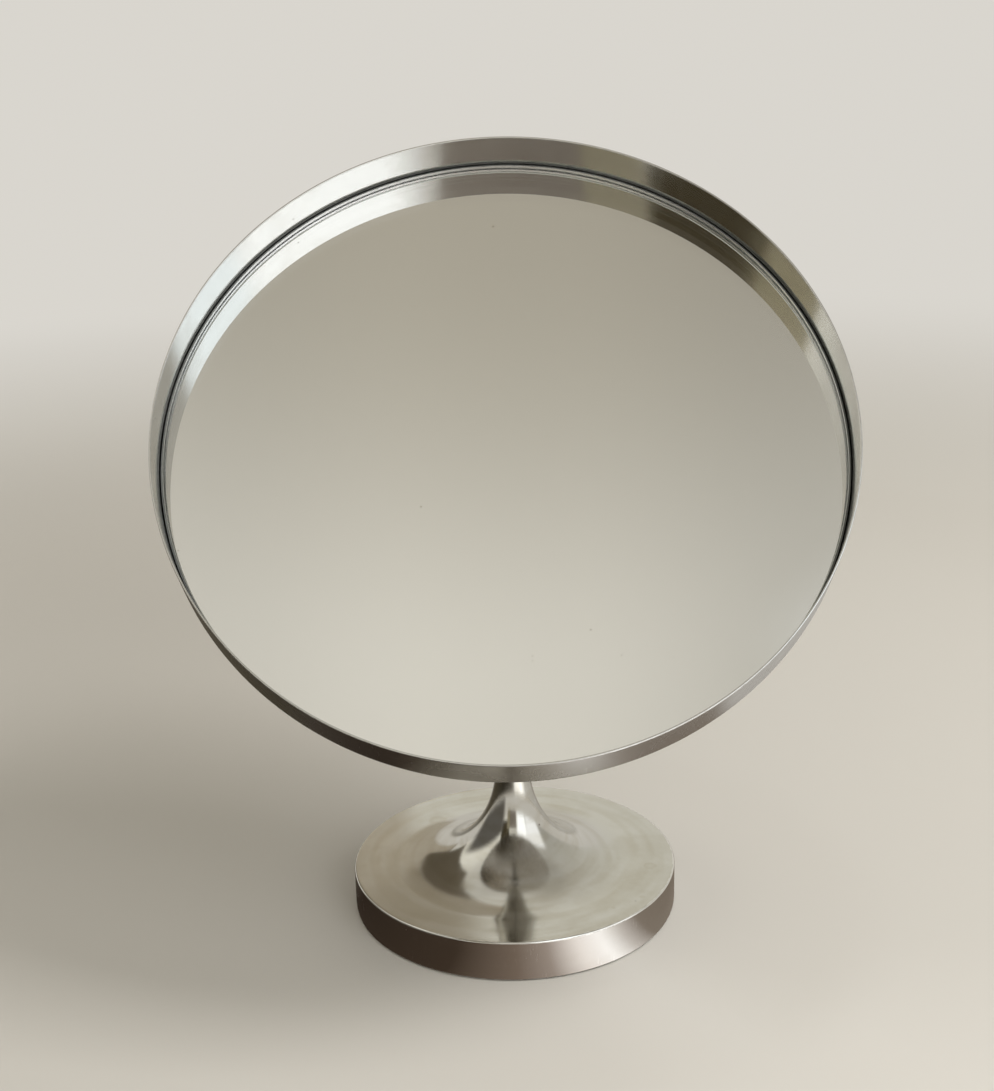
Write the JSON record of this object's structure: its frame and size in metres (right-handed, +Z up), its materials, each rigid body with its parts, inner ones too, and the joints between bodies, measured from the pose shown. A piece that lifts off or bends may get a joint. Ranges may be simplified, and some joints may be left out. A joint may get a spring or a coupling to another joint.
{
  "type": "swivel mirror",
  "caption": "Round table mirror in a deep spun metal tray, on a yoke that tilts and swivels on a trumpet foot with a weighted disc base.",
  "frame": {"origin": "centre of the felt's underside, where the foot rests on the table", "axes": "+Z up along the neck; the mirror faces -Y and upwards at rest; +X is the viewer's right"},
  "size_m": [0.38, 0.2781, 0.4453],
  "materials": {
    "satin_metal": "satin spun, lightly aged",
    "raw_iron": "as cast",
    "zinc_steel": "zinc plated",
    "bright_steel": "satin plated",
    "cover_paint": "black lacquer",
    "felt": "pressed wool felt",
    "nylon": "natural nylon",
    "fibre": "vulcanised fibre",
    "clear_glass": "polished float glass",
    "silver_coat": "silvered and back painted",
    "fibreboard": "pressed fibreboard",
    "bead_rubber": "matt"
  },
  "bodies": {
    "stand": {"foot_shell": "satin_metal", "ballast_disc": "raw_iron", "tie_rod": "zinc_steel", "rod_washer": "zinc_steel", "rod_nut": "zinc_steel", "base_cover": "cover_paint", "felt_pad": "felt", "swivel_socket": "bright_steel", "swivel_grub_screw": "zinc_steel"},
    "swivel_head": {"swivel_washer": "nylon", "swivel_spindle": "bright_steel", "knuckle": "satin_metal"},
    "mirror_head": {"mirror_tray": "satin_metal", "mirror_glass": "clear_glass", "silvering": "silver_coat", "backing_board": "fibreboard", "glazing_bead": "bead_rubber", "clamp_plate": "zinc_steel", "yoke": "bright_steel", "yoke_screws": "zinc_steel", "tilt_bolt": "bright_steel", "tilt_washers": "fibre", "spring_washer": "zinc_steel", "tilt_nut": "bright_steel"}
  },
  "joints": [
    {"name": "swivel", "type": "hinge", "parent": "stand", "child": "swivel_head", "pos_m": [0, 0, 0.242], "axis": [0, 0, 1], "continuous": true},
    {"name": "tilt", "type": "hinge", "parent": "swivel_head", "child": "mirror_head", "pos_m": [0, 0, 0.27], "axis": [-1, 0, 0], "range_deg": [-44.5, 32.5]}
  ]
}
